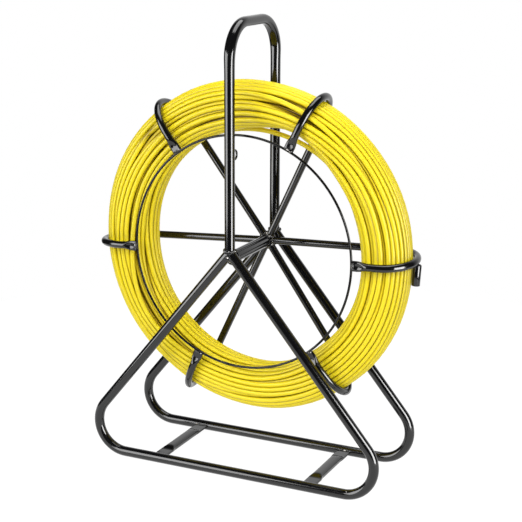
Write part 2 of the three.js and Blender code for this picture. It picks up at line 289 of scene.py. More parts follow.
def wire_rings(path, radii, sides, closed=False):
    """Rings of a round wire, whose radius may change, along any path."""
    tangents = directions(path, closed)
    normals = carried_normals(tangents, closed)
    binormals = np.cross(tangents, normals)
    radii = np.broadcast_to(radii, len(path))[:, None, None]
    turns = circle(sides)
    around = normals[:, None] * turns[None, :, :1] + binormals[:, None] * turns[None, :, 1:]
    return path[:, None] + around * radii


def flat_rings(path, tangents, up, outlines):
    """Rings of sections (one for each point of a path in a plane) with their second axis along up."""
    sides = np.cross(tangents, up)
    outlines = np.broadcast_to(outlines, (len(path), *np.shape(outlines)[-2:]))
    return path[:, None] + sides[:, None] * outlines[:, :, :1] + up * outlines[:, :, 1:]


def bent_path(corners, radius, straight_step=18.0, bend_step=math.radians(4)):
    """Points and directions along straights that meet in round bends."""
    corners = [np.array(corner, float) for corner in corners]
    legs = [unit(b - a) for a, b in zip(corners, corners[1:])]
    points, tangents = [corners[0]], [legs[0]]

    def run_to(end, tangent):
        start = points[-1]
        steps = max(1, round(np.linalg.norm(end - start) / straight_step))
        for i in range(1, steps + 1):
            points.append(start + (end - start) * i / steps)
            tangents.append(tangent)

    for corner, before, after in zip(corners[1:-1], legs, legs[1:]):
        turn = math.acos(np.clip(before @ after, -1, 1))
        start = corner - before * radius * math.tan(turn / 2)
        inward = unit(after - before * (before @ after))
        if np.linalg.norm(start - points[-1]) > 0.01:
            run_to(start, before)
        steps = max(2, round(turn / bend_step))
        for i in range(1, steps + 1):
            angle = turn * i / steps
            points.append(start + radius * (before * math.sin(angle) + inward * (1 - math.cos(angle))))
            tangents.append(before * math.cos(angle) + inward * math.sin(angle))
    run_to(corners[-1], legs[-1])
    return np.array(points), np.array(tangents)


def filleted(profile, radius, steps=3):
    """A turned profile with each of its inner corners rounded off."""
    points = [np.array(point, float) for point in profile]
    rounded = [points[0]]
    for before, corner, after in zip(points, points[1:], points[2:]):
        reach = min(radius, np.linalg.norm(before - corner) / 2.1, np.linalg.norm(after - corner) / 2.1)
        start = corner + unit(before - corner) * reach
        end = corner + unit(after - corner) * reach
        for i in range(steps + 1):
            t = i / steps
            rounded.append(start * (1 - t) ** 2 + corner * 2 * t * (1 - t) + end * t**2)
    rounded.append(points[-1])
    return rounded


def turned(name, profile, material, segments=48, radius=0.3, closed=False):
    """A turned piece about Y. Its profile of (radius, y) starts and ends on the axis, or is closed."""
    if closed:
        profile = [*profile, profile[0], profile[1]]
        outline = filleted(profile, radius)[1:-1]
    else:
        outline = filleted(profile, radius)
    outline = np.array(outline)
    turns = circle(segments)
    rings = xyz(outline[:, :1] * turns[:, 0], outline[:, 1:], outline[:, :1] * turns[:, 1])
    if not closed:
        rings = rings[1:-1]
    return loft(name, rings, material, closed=closed, crease=50)


def turned_tube(name, bore, diameter, length, material, radius):
    """A plain tube along Y, with its edges rounded to a radius."""
    inner, outer, half = bore / 2, diameter / 2, length / 2
    profile = [(inner, -half), (outer, -half), (outer, half), (inner, half)]
    return turned(name, profile, material, radius=radius, closed=True)


def place(piece, position, rotation=None):
    """Moves a piece's mesh to a place in millimetres, after an optional rotation."""
    matrix = Matrix.Translation(Vector(position) * MM)
    if rotation is not None:
        matrix = matrix @ Matrix(rotation.tolist()).to_4x4()
    piece.data.transform(matrix)
    return piece


def smoothstep(value, low, high):
    """Rises smoothly from 0 at low to 1 at high."""
    t = np.clip((value - low) / (high - low), 0, 1)
    return t * t * (3 - 2 * t)


def mix(a, b, amount):
    """Goes from a to b as the amount goes from 0 to 1."""
    return a + (b - a) * amount


def soft_noise(count, spread, seed):
    """Smooth random numbers along a line, with a spread of that many points and a deviation of 1."""
    rng = np.random.default_rng(seed)
    reach = int(4 * spread)
    kernel = np.exp(-0.5 * (np.arange(-reach, reach + 1) / spread) ** 2)
    values = np.convolve(rng.standard_normal(count + 2 * reach), kernel, mode="valid")
    return values / np.sqrt((kernel**2).sum())


def distances_along(path):
    """How far along a path each of its points is."""
    return np.concatenate([[0], np.cumsum(np.linalg.norm(np.diff(path, axis=0), axis=1))])


def weld_bead(name, path, radius, material, seed, closed=False, ripple=1.3, face=math.inf):
    """A run of weld: a bead that ripples every ripple millimetres, ground flush at Y = ±face."""
    along = distances_along(path)
    waves = BEAD_RIPPLE * np.sin(along / ripple * 2 * math.pi)
    uneven = BEAD_RIPPLE * soft_noise(len(path), 3, seed)
    radii = radius * (1 + waves + uneven)
    if not closed:
        to_end = np.minimum(along, along[-1] - along)
        radii = radii * np.sqrt(smoothstep(to_end, -0.2, radius))
    rings = wire_rings(path, radii, BEAD_SIDES, closed)
    rings[..., 1] = np.clip(rings[..., 1], -face, face)
    return loft(name, rings, material, closed=closed, crease=80)


def resampled(path, step):
    """The same path with its points a step apart."""
    along = distances_along(path)
    wanted = np.linspace(0, along[-1], max(2, round(along[-1] / step) + 1))
    return xyz(*(np.interp(wanted, along, values) for values in path.T))


def fit(piece, body, *nodes, slot="black_paint"):
    """Rides a piece on a body, and hides the CAD nodes that it stands for. Its slot is not used."""
    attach(piece, body)
    if nodes:
        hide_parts(*nodes)


# ---- Materials ----

BLACKS = ((0.0022, 0.0022, 0.0026, 1), (0.0045, 0.0045, 0.005, 1))
BARE_STEEL = (0.55, 0.53, 0.50, 1)
YELLOWS = ((0.80, 0.635, 0.010, 1), (0.86, 0.705, 0.016, 1))
WORN_YELLOW = (0.66, 0.50, 0.010, 1)
# Painted shade for the rod's jacket, where strands touch and deep in the bundle
GAP_SHADES = ((0.05, 0.020, 0.0005, 1), (0.36, 0.23, 0.002, 1))  # painted shade: in darker gaps and in lighter ones
DEEPEST_SHADE = (0.045, 0.018, 0.0004, 1)
NYLON_WHITES = ((0.66, 0.64, 0.57, 1), (0.76, 0.74, 0.68, 1))
BRASS_TONES = ((0.80, 0.58, 0.24, 1), (0.52, 0.34, 0.12, 1))


class Nodes:
    """Short calls for building the node tree of a material or a world."""

    def __init__(self, owner, shader="Principled BSDF", place="Object"):
        owner.use_nodes = True
        self.owner = owner
        self.tree = owner.node_tree
        self.shader = self.tree.nodes[shader]
        self.place = self.add("ShaderNodeTexCoord").outputs[place]

    def put(self, value, socket):
        """Sets a socket to a number, or links it to another node's output."""
        if isinstance(value, bpy.types.NodeSocket):
            self.tree.links.new(value, socket)
        else:
            socket.default_value = value

    def add(self, kind, inputs=None, **settings):
        """A new node, with numbers or other nodes' outputs for its inputs."""
        node = self.tree.nodes.new(kind)
        for key, value in settings.items():
            setattr(node, key, value)
        for key, value in (inputs or {}).items():
            self.put(value, node.inputs[key])
        return node

    def noise(self, scale, detail=3.0, roughness=0.5, vector=None):
        inputs = {"Scale": scale, "Detail": detail, "Roughness": roughness, "Vector": vector or self.place}
        return self.add("ShaderNodeTexNoise", inputs).outputs["Fac"]

    def span(self, *values):
        """Maps a value's range to another: the value, then the low and high ends of both ranges."""
        inputs = zip(("Value", "From Min", "From Max", "To Min", "To Max"), values)
        return self.add("ShaderNodeMapRange", dict(inputs)).outputs["Result"]

    def maths(self, operation, a, b=0.0):
        return self.add("ShaderNodeMath", {0: a, 1: b}, operation=operation).outputs[0]

    def blend(self, amount, a, b):
        inputs = {"Factor": amount, "A": a, "B": b}
        return self.add("ShaderNodeMix", inputs, data_type="RGBA").outputs["Result"]

    def bump(self, height, strength, distance, normal=None):
        inputs = {"Height": height, "Strength": strength, "Distance": distance}
        if normal is not None:
            inputs["Normal"] = normal
        return self.add("ShaderNodeBump", inputs).outputs["Normal"]

    def set(self, name, value):
        """Sets one of the shader's own inputs."""
        self.put(value, self.shader.inputs[name])


def paint_chips(nodes, scale, share, size):
    """A mask of small ragged chips: a share of the cells of a Voronoi pattern have one."""
    ragged = nodes.noise(900.0, 2.0)
    cells = nodes.add("ShaderNodeTexVoronoi", {"Scale": scale, "Vector": nodes.place})
    chosen = nodes.add("ShaderNodeSeparateColor", {"Color": cells.outputs["Color"]})
    picked = nodes.maths("LESS_THAN", chosen.outputs["Red"], share)
    distance = nodes.maths("ADD", cells.outputs["Distance"], nodes.span(ragged, 0.0, 1.0, -0.06, 0.06))
    near = nodes.maths("LESS_THAN", distance, size)
    return nodes.maths("MULTIPLY", picked, near)


def black_paint(name, shine, chipped=0.04, chip_size=0.06, chip_scale=60.0):
    """Black paint on steel, with an almost even gloss. A share of it is chipped down to the metal."""
    nodes = Nodes(bpy.data.materials.new(name))
    nodes.set("Specular IOR Level", shine)
    patches = nodes.noise(26.0, 4.0)
    dust = nodes.noise(240.0, 3.0)
    chips = paint_chips(nodes, chip_scale, chipped, chip_size)
    nodes.set("Base Color", nodes.blend(chips, nodes.blend(patches, *BLACKS), BARE_STEEL))
    dusty = nodes.span(dust, 0.6, 0.8, 0.0, 0.02)
    gloss = nodes.maths("ADD", nodes.span(patches, 0.3, 0.7, 0.10, 0.15), dusty)
    nodes.set("Roughness", nodes.maths("ADD", gloss, nodes.maths("MULTIPLY", chips, 0.25)))
    nodes.set("Metallic", nodes.maths("MULTIPLY", chips, 0.3))
    lumps = nodes.bump(nodes.noise(40.0, 1.0), 0.03, 0.0008)
    nodes.set("Normal", nodes.bump(nodes.maths("SUBTRACT", 1.0, chips), 0.3, 0.0002, lumps))
    return nodes.owner


def yellow_jacket():
    """The rod's satin plastic jacket: worn in faint streaks, and darkened with painted shade where it isn't
    open.
    """
    nodes = Nodes(bpy.data.materials.new("yellow_rod"))
    along = nodes.add("ShaderNodeAttribute", attribute_name="rod_place").outputs["Vector"]
    open_amount = nodes.add("ShaderNodeAttribute", attribute_name="openness").outputs["Fac"]
    stretch = nodes.add("ShaderNodeMapping", {"Scale": (1.4, 1.0, 1.0), "Vector": along})
    streaks = nodes.noise(3.0, 4.0, 0.6, stretch.outputs["Vector"])
    patches = nodes.noise(18.0, 3.0)
    clean = nodes.blend(patches, *YELLOWS)
    worn = nodes.blend(nodes.span(streaks, 0.6, 0.85, 0.0, 0.25), clean, WORN_YELLOW)
    # Painted shade: darkest where strands touch and deep in the bundle, and darker in some gaps than in
    # others
    lighter_gap = nodes.span(nodes.noise(2.4, 2.0, 0.5, along), 0.42, 0.52, 0.0, 1.0)
    gap_shade = nodes.blend(lighter_gap, *GAP_SHADES)
    reach = nodes.maths("POWER", open_amount, nodes.span(lighter_gap, 0.0, 1.0, 1.3, 0.8))
    deepest = nodes.span(open_amount, 0.0, 0.10, 0.0, 1.0)
    nodes.set("Base Color", nodes.blend(reach, nodes.blend(deepest, DEEPEST_SHADE, gap_shade), worn))
    nodes.set("Roughness", nodes.span(streaks, 0.3, 0.7, 0.32, 0.42))
    nodes.set("Specular IOR Level", 0.25)
    nodes.set("Normal", nodes.bump(streaks, 0.02, 0.0002))
    return nodes.owner


def nylon():
    """Natural nylon, milky and a little blotchy."""
    nodes = Nodes(bpy.data.materials.new("nylon"))
    blotches = nodes.noise(160.0, 3.0)
    nodes.set("Base Color", nodes.blend(blotches, *NYLON_WHITES))
    nodes.set("Roughness", nodes.span(blotches, 0.3, 0.7, 0.42, 0.55))
    nodes.set("Subsurface Weight", 0.15)
    nodes.set("Subsurface Scale", 0.002)
    nodes.set("Normal", nodes.bump(nodes.noise(700.0), 0.08, 0.0003))
    return nodes.owner


def brass():
    """Turned brass with a fine grain and a light tarnish."""
    nodes = Nodes(bpy.data.materials.new("brass"))
    tarnish = nodes.noise(210.0, 4.0)
    nodes.set("Base Color", nodes.blend(tarnish, *BRASS_TONES))
    nodes.set("Roughness", nodes.span(tarnish, 0.3, 0.7, 0.20, 0.40))
    nodes.set("Metallic", 1.0)
    nodes.set("Normal", nodes.bump(nodes.noise(1500.0, 2.0), 0.1, 0.0002))
    return nodes.owner


PAINT = black_paint("black_paint", 0.62)
RING_PAINT = black_paint("ring_paint", 0.25)
WELD_PAINT = black_paint("weld_paint", 0.9, chipped=0.35, chip_size=0.4, chip_scale=260.0)
JACKET = yellow_jacket()
NYLON = nylon()
BRASS = brass()


# ---- Stand ----

TUBE_SIDES = 32
WIRE_SIDES = 14
MITRE_RISE = 1 / math.tan((math.pi - LEG_LEAN) / 2)  # of the seam between a leg and the handle
FRAME_INSIDE = FRAME_Y - TUBE_RADIUS  # Y of the side frames' inner faces
ENDS = (("front", -1), ("back", 1))  # and the sign of their Y


def side_tube(name, node, y):
    """One tube bent into a triangle, its ends cut to meet each other and the handle at the top."""
    reach = TUBE_RADIUS * 1.2
    top_x, top_z = reach * math.sin(LEG_LEAN), LEG_APEX - reach * math.cos(LEG_LEAN)
    corners = [
        (-top_x, y, top_z),
        (-HALF_BASE, y, BASE_HEIGHT),
        (HALF_BASE, y, BASE_HEIGHT),
        (top_x, y, top_z),
    ]
    path, tangents = bent_path(corners, FOOT_BEND)
    rings = flat_rings(path, tangents, Y_AXIS, circle(TUBE_SIDES) * TUBE_RADIUS)
    for index, outward in ((0, -1), (-1, 1)):
        axis = np.array([-outward * math.sin(LEG_LEAN), 0.0, math.cos(LEG_LEAN)])
        ring = rings[index]
        side = ring[:, 0] * outward
        to_other_leg = side / math.sin(LEG_LEAN)
        above_seam = LEG_APEX + MITRE_RISE * side - ring[:, 2]
        to_handle = above_seam / (math.cos(LEG_LEAN) + MITRE_RISE * math.sin(LEG_LEAN))
        rings[index] = ring + axis * np.minimum(to_other_leg, to_handle)[:, None]
    fit(loft(name, rings, PAINT, crease=60), "stand", node)


def handle_outline(flatness):
    """The handle's section: round on the uprights, pressed to an oval where it is bent."""
    through = mix(2 * TUBE_RADIUS, HANDLE_FLAT[0], flatness)
    across = mix(2 * TUBE_RADIUS, HANDLE_FLAT[1], flatness)
    outline = superellipse(through, across, mix(2.0, HANDLE_POWER, flatness), TUBE_SIDES)
    outline[:, 0] -= TUBE_RADIUS - through / 2  # the outer side of the bend keeps its line
    return outline


def handle():
    """The carrying handle: an arch that goes down to the apex of each side frame."""
    top = TOTAL_HEIGHT - TUBE_RADIUS
    corners = [(0, -FRAME_Y, LEG_APEX), (0, -FRAME_Y, top), (0, FRAME_Y, top), (0, FRAME_Y, LEG_APEX)]
    path, tangents = bent_path(corners, HANDLE_BEND, straight_step=7.0)
    start = top - HANDLE_BEND
    flatness = smoothstep(path[:, 2], start - 14, start + 20)
    outlines = np.array([handle_outline(amount) for amount in flatness])
    rings = flat_rings(path, tangents, X_AXIS, outlines)
    for index in (0, -1):
        rings[index][:, 2] = LEG_APEX + MITRE_RISE * np.abs(rings[index][:, 0])
    fit(loft("carrying_handle", rings, PAINT, crease=60), "stand", "handle_tube")


def apex_welds(name, y):
    """Beads along the three seams where the legs and the handle meet."""
    angles = np.linspace(-math.pi / 2, math.pi / 2, 48)
    out = TUBE_RADIUS * np.cos(angles)
    depth = y + TUBE_RADIUS * np.sin(angles)
    runs = [xyz(side * out, depth, LEG_APEX + MITRE_RISE * out) for side in (-1, 1)]
    runs.append(xyz(0, depth, LEG_APEX - out / math.sin(LEG_LEAN)))
    face = abs(y) + TUBE_RADIUS
    for number, run in enumerate(runs, 1):
        seed = number + 10
        bead = weld_bead(f"{name}_{number}", run, BEADS["apex"], WELD_PAINT, seed, ripple=2.4, face=face)
        fit(bead, "stand")


def crossbar(name, node, x):
    """A bar across the base: oval in the middle, crimped flat and welded at both ends."""
    end = FRAME_INSIDE + 0.2
    from_end = np.linspace(0, CRIMP_LENGTH + CRIMP_SLOPE, 20)
    places = np.unique(np.concatenate([np.linspace(-end, end, 15), from_end - end, end - from_end]))
    path = xyz(x, places, CROSSBAR_HEIGHT)
    amount = 1 - smoothstep(end - np.abs(places), CRIMP_LENGTH, CRIMP_LENGTH + CRIMP_SLOPE)
    outlines = []
    for flat in amount:
        across, through = (mix(bar, crimp, flat) for bar, crimp in zip(CROSSBAR_SECTION, CRIMP_SECTION))
        outlines.append(superellipse(across, through, mix(CROSSBAR_POWER, CRIMP_POWER, flat), 48))
    rings = flat_rings(path, np.broadcast_to(Y_AXIS, path.shape), Z_AXIS, np.array(outlines))
    fit(loft(name, rings, PAINT, crease=60), "stand", node)
    half = CRIMP_SECTION[0] / 2
    across = np.linspace(x - half, x + half, 40)
    for end_name, side in ENDS:
        run = xyz(across, side * (end - 0.4), CROSSBAR_HEIGHT + 1.6)
        fit(weld_bead(f"{name}_{end_name}_weld", run, BEADS["crossbar"], WELD_PAINT, seed=5), "stand")


def axle_and_washers():
    """The axle between the side frames, and a washer and a weld at each of its ends."""
    radius = (axle_high[0] - axle_low[0]) / 2
    end = FRAME_INSIDE + 1.5
    axle = turned("axle", [(0, -end), (radius, -end), (radius, end), (0, end)], PAINT, radius=0.4)
    fit(place(axle, (0, 0, AXLE_HEIGHT)), "stand", "axle_rod")
    run = round_run(5.6, 60)
    for side_name, side in ENDS:
        size = (BUSH_BORE, WASHER_DIAMETER, WASHER_THICKNESS)
        washer = turned_tube(f"thrust_washer_{side_name}", *size, PAINT, radius=0.35)
        place(washer, (0, side * (AXLE_END - WASHER_THICKNESS / 2), AXLE_HEIGHT))
        fit(washer, "stand", f"{side_name}_thrust_washer")
        bead = weld_bead(f"axle_weld_{side_name}", run, BEADS["axle"], WELD_PAINT, seed=21, closed=True)
        fit(place(bead, (0, side * (AXLE_END + 1.6), AXLE_HEIGHT)), "stand")


def guide_eye():
    """The eye on the front upright that guides the rod out, with its weld."""
    outside = (eye_high[2] - eye_low[2]) / 2
    centre = (eye_low + eye_high) / 2
    radius = outside - EYE_WIRE / 2
    turns = circle(56) * radius
    path = xyz(0, turns[:, 0], turns[:, 1]) + centre
    rings = wire_rings(path, EYE_WIRE / 2, WIRE_SIDES, closed=True)
    fit(loft("rod_guide_eye", rings, PAINT, closed=True), "stand", "guide_eye")
    rise = np.linspace(-3.6, 3.6, 24)
    for number, x in ((1, -1.2), (2, 1.2)):
        run = xyz(x, 0.5 - outside, rise)
        bead = weld_bead(f"rod_guide_eye_weld_{number}", run + centre, BEADS["eye"], PAINT, seed=31)
        fit(bead, "stand")


side_tube("side_frame_front", "front_side_tube", -FRAME_Y)
side_tube("side_frame_back", "back_side_tube", FRAME_Y)
handle()
apex_welds("apex_weld_front", -FRAME_Y)
apex_welds("apex_weld_back", FRAME_Y)
crossbar("base_crossbar_left", "left_base_crossbar", -CROSSBAR_X)
crossbar("base_crossbar_right", "right_base_crossbar", CROSSBAR_X)
axle_and_washers()
guide_eye()


# ---- Cage ----

def about_axle(points, degrees):
    """Turns points about the axle, from +X towards +Z. The angle may differ from point to point."""
    angle = np.radians(degrees)
    x, y, z = points[..., 0], points[..., 1], points[..., 2]
    return xyz(x * np.cos(angle) - z * np.sin(angle), y, x * np.sin(angle) + z * np.cos(angle))


def on_arm(points, angle, lean):
    """Carries points from an arm's own plane to the reel: the lean grows from the spoke to the front."""
    forward = np.clip((SPOKE_Y - points[..., 1]) / (2 * HOOK_BEND), 0, 1)
    return about_axle(points, angle + lean * forward) + np.array([0, 0, AXLE_HEIGHT])


def arm_rings(reach):
    """Rings of an arm along +X: a spoke, a half circle round the rod, and a flattened front end."""
    tip = RING_RADIUS + RING_WIRE / 2
    corners = [(6.0, SPOKE_Y, 0), (reach, SPOKE_Y, 0), (reach, HOOK_END_Y, 0), (tip, HOOK_END_Y, 0)]
    path, tangents = bent_path(corners, HOOK_BEND, straight_step=3.0, bend_step=math.radians(4.5))
    from_tip = np.where(path[:, 1] < 0, path[:, 0] - tip, math.inf)
    flat = 1 - smoothstep(from_tip, PADDLE_LENGTH - 4, PADDLE_LENGTH + PADDLE_SLOPE)
    neck = np.exp(-0.5 * ((from_tip - PADDLE_LENGTH + 1) / 3.4) ** 2)
    rings = []
    for point, tangent, amount, dent in zip(path, tangents, flat, neck):
        across = mix(ARM_ROD, PADDLE_SECTION[0], amount)
        through = mix(ARM_ROD, PADDLE_SECTION[1], amount)
        outline = superellipse(through, across, mix(2.0, PADDLE_POWER, amount), TUBE_SIDES)
        hollow = np.exp(-((outline[:, 1] / (0.24 * across)) ** 2))
        outline[:, 0] *= 1 - 0.5 * dent * hollow
        rings.append(flat_rings(point[None], tangent[None], Z_AXIS, outline)[0])
    return np.array(rings)


def cut_to_sleeve(rings):
    """Moves the spoke's inner end out to the sleeve and to the neighbouring spokes."""
    ring = rings[0]
    sleeve = np.sqrt(np.maximum((SLEEVE_DIAMETER / 2) ** 2 - ring[:, 2] ** 2, 0)) + 0.1
    neighbour = np.abs(ring[:, 2]) / math.tan(math.radians(30)) + 0.3
    rings[0][:, 0] = np.maximum(sleeve, neighbour)
    return rings[np.concatenate([[True], rings[1:, :, 0].min(axis=1) > rings[0][:, 0].max()])]


def cage_arms():
    """The six arms, each with a weld at its root on the hub and one at its tip on the ring."""
    for index, (name, (angle, lean, reach)) in enumerate(ARMS.items()):
        rings = cut_to_sleeve(arm_rings(reach))
        arm = loft(f"arm_{name}", on_arm(rings, angle, lean), PAINT, crease=60)
        fit(arm, "reel", f"cage_arm_{name}")
        root_weld(name, rings[0], angle, seed=index + 40)
        tip_weld(name, angle, lean, seed=index + 60)


def root_weld(name, root, angle, seed):
    """The bead round a spoke's inner end."""
    run = root + X_AXIS * 0.6
    run = resampled(np.concatenate([run, run[:1]]), 0.5)[:-1]
    run = on_arm(run, angle, 0)
    fit(weld_bead(f"spoke_weld_{name}", run, BEADS["spoke"], WELD_PAINT, seed, closed=True), "reel")


def tip_weld(name, angle, lean, seed):
    """The blob that joins an arm's flat end to the ring."""
    half = PADDLE_SECTION[0] / 2 - 1.2
    across = np.linspace(-half, half, 30)
    radius = RING_RADIUS + RING_WIRE / 2 + 0.2
    run = xyz(np.sqrt(radius**2 - across**2), HOOK_END_Y - 0.9, across)
    run = on_arm(run, angle, lean)
    fit(weld_bead(f"tip_weld_{name}", run, BEADS["tip"], WELD_PAINT, seed, ripple=2.1), "reel")


def retaining_ring():
    """The front wire ring, with the bump of its butt weld."""
    angles = np.arange(240) * 2 * math.pi / 240
    radii = RING_WIRE / 2 * (1 + 0.35 * np.exp(-(((angles - math.radians(262)) / 0.012) ** 2)))
    path = round_run(RING_RADIUS, 240) + np.array([0, HOOK_END_Y, AXLE_HEIGHT])
    rings = wire_rings(path, radii, WIRE_SIDES, closed=True)
    fit(loft("front_ring", rings, RING_PAINT, closed=True), "reel", "retaining_ring")


def hub():
    """The sleeve that turns on the axle, with a bush in each end."""
    sleeve = turned_tube("axle_sleeve", SLEEVE_BORE, SLEEVE_DIAMETER, 2 * SLEEVE_END, PAINT, radius=0.5)
    fit(place(sleeve, (0, 0, AXLE_HEIGHT)), "reel", "hub_sleeve")
    for side_name, side in ENDS:
        size = (BUSH_BORE, SLEEVE_BORE - 0.2, BUSH_LENGTH)
        bush = turned_tube(f"axle_bush_{side_name}", *size, NYLON, radius=0.4)
        place(bush, (0, side * (SLEEVE_END - BUSH_LENGTH / 2), AXLE_HEIGHT))
        fit(bush, "reel", f"{side_name}_hub_bush", slot="nylon")


cage_arms()
retaining_ring()
hub()


# ---- Wound rod ----

STATIONS = 96  # points in each turn of the rod
STEP = 360 / STATIONS
ROD_SIDES = 14
# Strands in each layer, and the layer's share of the section
LAYERS = ((1, 0.0), (5, 0.21), (10, 0.42), (15, 0.61), (20, 0.81), (26, 1.0))
TURNS = 1 + sum(count for count, share in LAYERS)
START_ANGLE = INNER_END[0] + math.degrees(FERRULE_LENGTH / 2 / INNER_END[1])
END_ANGLE = OUTER_END[0] - math.degrees(FERRULE_LENGTH / 2 / OUTER_END[1])
PART_TURN = int((END_ANGLE - START_ANGLE) / STEP)
ROD_POINTS = (TURNS - 1) * STATIONS + PART_TURN + 1
MISSING_POINTS = TURNS * STATIONS - ROD_POINTS  # that would make the last turn whole
FIRST_PHASE = math.radians(80)  # where each layer's first strand lies in the bundle's section
# How the strands twist round the bundle: radians, times in each turn and an offset in degrees
TWISTS = ((0.32, 2, 40), (0.16, 3, 150))
LAYER_CHANGE = 0.3  # the last share of a layer's last turn, in which it moves out to the next
WANDER = 3.2  # deviation of a strand from its tidy place, before it settles
WANDER_SPREAD = 14  # stations

# The two ends, in degrees of the wheel
LOOSE_TURN = 80.0  # that the inner end bridges before it joins the bundle
LOOSE_STRAIGHT = 30  # of them before it starts to draw near
LOOSE_Y = 6.0  # millimetres from the bundle's middle, where it joins
DIVE = 0.70  # the last share of its first turn, in which it dives to the middle
TAIL = 30  # over which the outer end leaves the bundle
TAIL_HELD = 12  # of them that nothing pushes aside

# The outline that holds the strands
BUNDLE_POWER = 2.15  # of its superellipse
HOOK_PINCH = 11  # degrees each side of a hook where the hook sets the outer edge
THIN = (68, 18, 13.2)  # wheel angle, spread and depth of a dip in the inner edge
THIN_SWELL = 0.35  # share of that depth by which the bundle is thicker along the axle there

# How the strands settle
SETTLE_ROUNDS = 160
SOFT_ROUNDS = 12  # the last ones, in which the rod bends more easily
STIFFNESS = (0.5, 0.15)  # the share of a wiggle that a round takes out, and that a soft one does
STIFF_SPREAD = 3.0  # stations
FINAL_SPREAD = 2.5
PUSHES = 2  # in each round
PUSH_SHARE = 0.7  # of an overlap that a push takes out
PRESS_BAND = (0.90, 0.97)  # share of the outline from which strands are drawn out to it
PRESS_SHARE = 0.35

# Painted shade between the strands and deep in the bundle
OPEN_DISTANCE = 1.5  # from the next strand, where the jacket no longer gets painted shade from it
SHADED_DEPTHS = (4.0, 7.8)  # under the outline, where painted shade begins and where it is darkest
# How far the painted shade darkens the jacket deep in the bundle
DEPTH_SHADE = 0.92

# Where the bundle isn't a true ring: a wheel angle, the spread in degrees, and how far the outer edge
# and the inner edge stand out from it there
BULGES = (
    (20, 32, 1.4, 1.2),
    (112, 26, 3.6, 0.0),
    (150, 26, 3.0, 3.4),
    (183, 24, -0.3, 6.0),
    (215, 26, -1.2, 3.8),
    (236, 14, -2.0, 1.0),
    (284, 18, 3.4, -4.5),
    (318, 26, 3.2, -1.5),
)

# Gaps between strands: a wheel angle, the spread in degrees, the direction in the bundle's section
# (0 is away from the axle, -90 to the front) and the width
PARTINGS = (
    (22, 34, -104, 2.8),
    (8, 36, -76, 3.8),
    (42, 26, -56, 4.0),
    (100, 22, -120, 2.4),
    (128, 20, -84, 1.8),
    (158, 26, -112, 2.2),
    (196, 26, -66, 1.6),
    (222, 22, -100, 1.2),
    (262, 26, -74, 1.8),
    (300, 20, -120, 2.0),
)
FERRULE_CLEARANCE = 9  # degrees each side of a ferrule where strands keep off it


def near(angle, wheel_angle, spread, power=2):
    """A hump of height 1 round a wheel angle, over others in degrees."""
    away = (angle - wheel_angle + 180) % 360 - 180
    return np.exp(-((away / spread) ** power))


def bulge(angle, column):
    """How far the bundle's outer (2) or inner (3) edge stands out from a true ring, at wheel angles."""
    total = np.zeros_like(angle)
    for row in BULGES:
        total += row[column] * near(angle, row[0], row[1])
    return total


def bundle_section(angle):
    """The middle radius, the radial half and the axial half of the strands' region at wheel angles."""
    thin = THIN[2] * np.exp(-(((angle - THIN[0]) / THIN[1]) ** 2))
    outer = COIL_RADIUS + BUNDLE_RADIUS + bulge(angle, 2)
    inner = COIL_RADIUS - BUNDLE_RADIUS - bulge(angle, 3) + thin
    for arm_angle, lean, reach in ARMS.values():
        in_hook = near(angle - arm_angle, lean / 2, HOOK_PINCH)
        outer = np.minimum(outer, mix(outer, reach - ARM_ROD / 2, in_hook))
    room = BUNDLE_RADIUS - ROD_DIAMETER / 2
    return (outer + inner) / 2, (outer - inner - ROD_DIAMETER) / 2, room + THIN_SWELL * thin


def outline_share(out, along):
    """How far from the bundle's middle a place is: 1 on the outline. Offsets are shares of its halves."""
    return (np.abs(out) ** BUNDLE_POWER + np.abs(along) ** BUNDLE_POWER) ** (1 / BUNDLE_POWER)


def strand_targets():
    """Where each point of the rod would lie in a tidy bundle: offsets out from the axle and along it."""
    index = np.arange(ROD_POINTS)
    turn = index / STATIONS - 1
    angle = START_ANGLE + index * STEP
    share = np.zeros(ROD_POINTS)
    phase = np.full(ROD_POINTS, FIRST_PHASE)
    first = 0
    for number, (count, size) in enumerate(LAYERS):
        inside = turn >= first
        done = (turn - first)[inside]
        share[inside] = size
        phase[inside] = FIRST_PHASE - 2 * math.pi * done / count
        if number + 1 < len(LAYERS):
            leaving = smoothstep(done, count - LAYER_CHANGE, count)
            share[inside] = mix(size, LAYERS[number + 1][1], leaving)
        first += count
    phase = phase + sum(size * np.sin(np.radians(times * angle + offset)) for size, times, offset in TWISTS)
    middle, radial, axial = bundle_section(angle % 360)
    out = share * radial * np.cos(phase)
    along = share * axial * np.sin(phase)
    entry = turn < 0
    dive = smoothstep(turn, -DIVE, 0.0)
    out[entry] = mix(-radial[entry], out[entry], dive[entry])
    along[entry] = mix(LOOSE_Y, along[entry], dive[entry])
    return np.stack([middle - COIL_RADIUS + out, along], axis=-1), angle


def pinned_ends(places, angle):
    """Leads the rod's two ends from the bundle to their ferrules. Returns which points are held."""
    held = np.zeros(ROD_POINTS, bool)
    start = angle - angle[0]
    loose = start <= LOOSE_TURN
    joined = smoothstep(start[loose], LOOSE_STRAIGHT, LOOSE_TURN)
    inner_edge = COIL_RADIUS - BUNDLE_RADIUS + ROD_DIAMETER / 2
    places[loose, 0] = mix(INNER_END[1], inner_edge, joined) - COIL_RADIUS
    places[loose, 1] = mix(INNER_END[2], LOOSE_Y + COIL_Y, joined) - COIL_Y
    held[loose] = True
    tail = angle[-1] - angle
    leaving = tail <= TAIL
    away = smoothstep(TAIL - tail[leaving], 2, TAIL - 3)
    meet = places[np.nonzero(leaving)[0][0] - 1]
    places[leaving, 0] = mix(meet[0], OUTER_END[1] - COIL_RADIUS, away)
    places[leaving, 1] = mix(meet[1], OUTER_END[2] - COIL_Y, away)
    held[tail <= TAIL_HELD] = True
    return held


